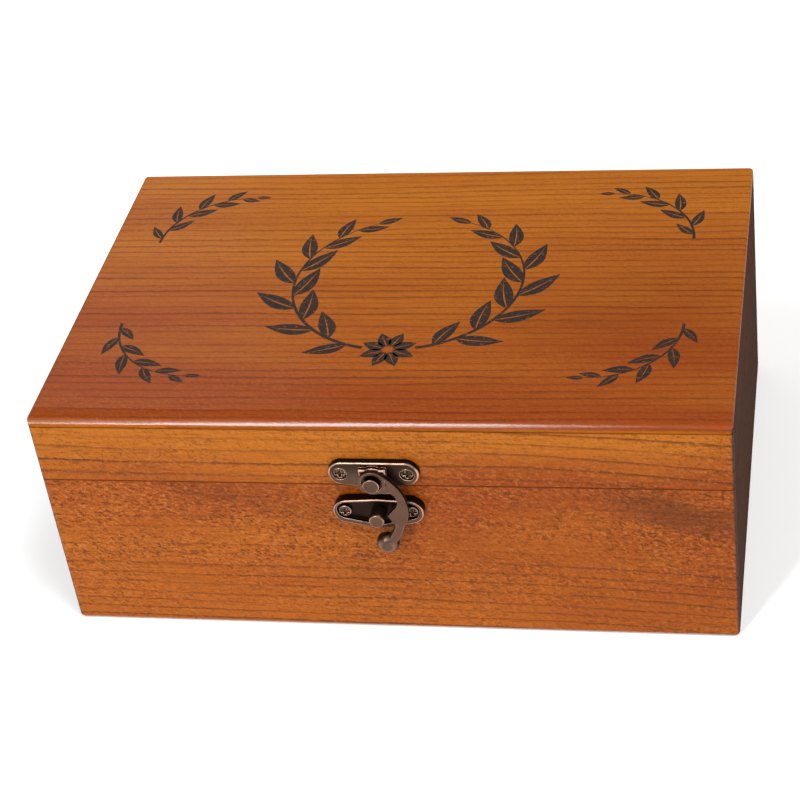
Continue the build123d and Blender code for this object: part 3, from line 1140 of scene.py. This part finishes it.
@dataclass
class Hardware:
    """The hinges and the swing latch, with their screws."""

    keeper_front: float
    field_depth: float = 0.0003
    plate_painted_shade_shares: Span = (0.40, 0.85)
    bronze: tuple[str, ...] = (
        "hinge_body_leaf_left",
        "hinge_body_leaf_right",
        "hinge_lid_leaf_left",
        "hinge_lid_leaf_right",
        "hinge_pin_left",
        "hinge_pin_right",
        "latch_pivot",
    )
    screws: tuple[str, ...] = (
        "hinge_body_screws",
        "hinge_lid_screws",
        "keeper_screws",
        "latch_plate_screws",
    )

    def dress(self) -> None:
        """Finishes the bronze pieces and the screws."""
        dress(self.bronze, AntiqueMetal("antique_bronze"))
        # painted shade on the upper part of the latch plate's face
        low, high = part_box("latch_plate")
        painted_shade = tuple(low.z + share * (high.z - low.z) for share in self.plate_painted_shade_shares)
        plate = AntiqueMetal("latch_plate_bronze", painted_shade=painted_shade)
        dress(("latch_plate",), plate)
        # painted shade on the keeper's sunk field, under the hook
        keeper = AntiqueMetal("keeper_bronze", shaded_field=self.keeper_front + self.field_depth)
        dress(("keeper_plate",), keeper)
        stud = AntiqueMetal("stud_bronze", buffed=(0.131, 0.0705, 0.0465), wall_share=0.8, rim_share=0.30)
        dress(("keeper_stud",), stud)
        hook = AntiqueMetal("hook_bronze", buffed=(0.136, 0.074, 0.050), wall_share=0.4, rim_share=0.10)
        dress(("latch_hook",), hook)
        screw = AntiqueMetal("bronzed_screw", buff_share=0.35)
        dress(self.screws, screw)


@dataclass(frozen=True)
class SunLight:
    """A broad far light, with the angle that it fills and its power on a square metre."""

    name: str
    place: Size
    angle: float
    strength: float

    def make(self) -> bpy.types.Light:
        """Makes the light."""
        light = bpy.data.lights.new(self.name, "SUN")
        light.angle = self.angle
        light.energy = self.strength
        return light


@dataclass(frozen=True)
class SoftBox:
    """A rectangular area light, with its width, its height and its power in watts."""

    name: str
    place: Size
    size: Span
    power: float

    def make(self) -> bpy.types.Light:
        """Makes the light."""
        light = bpy.data.lights.new(self.name, "AREA")
        light.shape = "RECTANGLE"
        light.size, light.size_y = self.size
        light.energy = self.power
        return light


@dataclass
class Stage:
    """The floor, the lights and the world."""

    floor_half: float = 6.0
    floor_height: float = -0.0003
    floor_lap: float = 0.0010
    floor_tone: Colour = (0.96, 0.96, 0.96)
    floor_glow: float = 0.10
    floor_roughness: float = 0.9
    floor_specular: float = 0.1
    world_tone: Colour = (1.0, 1.0, 1.0)
    world_strength: float = 0.35
    lamps: tuple[SunLight | SoftBox, ...] = (
        SunLight("overhead_light", place=(0.45, -0.22, 0.87), angle=math.radians(30), strength=2.1),
        SoftBox("key_light", place=(-0.30, -0.76, 0.82), size=(0.17, 1.10), power=9.6),
        SoftBox("back_light", place=(-0.60, 1.00, 0.82), size=(0.45, 0.45), power=0.6),
    )

    def build(self) -> None:
        """Makes the floor, the world light and the lamps."""
        floor = mesh_of_grids("floor", self.floor_frame())
        floor.data.materials.append(
            Graph("floor_paint").surface(
                Base_Color=opaque(self.floor_tone),
                Roughness=self.floor_roughness,
                Specular_IOR_Level=self.floor_specular,
                Emission_Color=opaque(self.floor_tone),
                Emission_Strength=self.floor_glow,
            )
        )
        floor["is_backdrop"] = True
        world = bpy.data.worlds.new("studio")
        world.use_nodes = True
        background = world.node_tree.nodes["Background"]
        background.inputs["Color"].default_value = opaque(self.world_tone)
        background.inputs["Strength"].default_value = self.world_strength
        bpy.context.scene.world = world
        for lamp in self.lamps:
            self.hang(lamp)

    def floor_frame(self) -> np.ndarray:
        """The floor as a wide flat frame, open under the box so that its underside shows from below.

        A point is middle + corner * half, where half goes from the opening's half size to the floor's.

        Returns:
            A grid of shape (1, 2, 5, 3), from the opening's rim to the outer rim and once round the corners.
        """
        low = np.array(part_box("body_front_board")[0])[:2] + self.floor_lap
        high = np.array(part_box("body_back_board")[1])[:2] - self.floor_lap
        corners = np.array(((-1, -1), (1, -1), (1, 1), (-1, 1), (-1, -1)))
        half = np.stack(((high - low) / 2, np.full(2, self.floor_half)))
        return at_height((low + high) / 2 + half[:, None, :] * corners[None, :, :], self.floor_height)[None]

    def hang(self, lamp: SunLight | SoftBox) -> None:
        """Puts a lamp in the scene, looking at the middle of the box.

        Args:
            lamp: The lamp.
        """
        hung = bpy.data.objects.new(lamp.name, lamp.make())
        low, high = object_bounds()
        hung.location = lamp.place
        hung.rotation_mode = "QUATERNION"
        hung.rotation_quaternion = ((low + high) / 2 - Vector(lamp.place)).to_track_quat("-Z", "Y")
        bpy.context.scene.collection.objects.link(hung)


@dataclass
class PhotoCamera:
    """The camera that took the photograph, as its place, turn and focal length in pixels."""

    place: Size = (0.1317, -0.5212, 0.4339)
    yaw: float = math.radians(-14.92)
    pitch: float = math.radians(36.54)
    roll: float = math.radians(-8.56)
    focal_pixels: float = 2151.0
    frame_pixels: float = 800.0
    sensor: float = 36.0

    def build(self) -> None:
        """Makes the camera and puts it in the scene.

        The view runs along (sin yaw cos pitch, cos yaw cos pitch, -sin pitch), and the roll turns about it.
        """
        ahead = Vector(
            (
                math.sin(self.yaw) * math.cos(self.pitch),
                math.cos(self.yaw) * math.cos(self.pitch),
                -math.sin(self.pitch),
            )
        )
        level = Vector((math.cos(self.yaw), -math.sin(self.yaw), 0.0))
        above = level.cross(ahead)
        right = level * math.cos(self.roll) + above * math.sin(self.roll)
        up = above * math.cos(self.roll) - level * math.sin(self.roll)
        lens = bpy.data.cameras.new("photo_camera")
        lens.sensor_width = self.sensor
        lens.lens = self.focal_pixels / self.frame_pixels * self.sensor
        camera = bpy.data.objects.new("photo_camera", lens)
        turn = Matrix((right, up, -ahead)).transposed().to_4x4()
        camera.matrix_world = Matrix.Translation(self.place) @ turn
        bpy.context.scene.collection.objects.link(camera)
        bpy.context.scene.camera = camera


def main() -> None:
    """Builds the stage and dresses the box."""
    logging.basicConfig(level=logging.INFO, format="%(name)s: %(message)s")
    bpy.context.scene.view_settings.view_transform = "Standard"
    cad_low, cad_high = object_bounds()
    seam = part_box("lid_front_rail")[0].z
    top_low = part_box("lid_top_panel")[0]
    PhotoCamera().build()
    Stage().build()
    BoxBody(seam, cad_high.x).dress()
    Lid(seam, joint=top_low.z, front=top_low.y, top=cad_high.z, half_length=cad_high.x).dress()
    Hardware(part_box("keeper_plate")[0].y).dress()
    LidPrint(cad_high.z).build(PrintInk("print_ink").material())


if __name__ == "__main__":
    main()
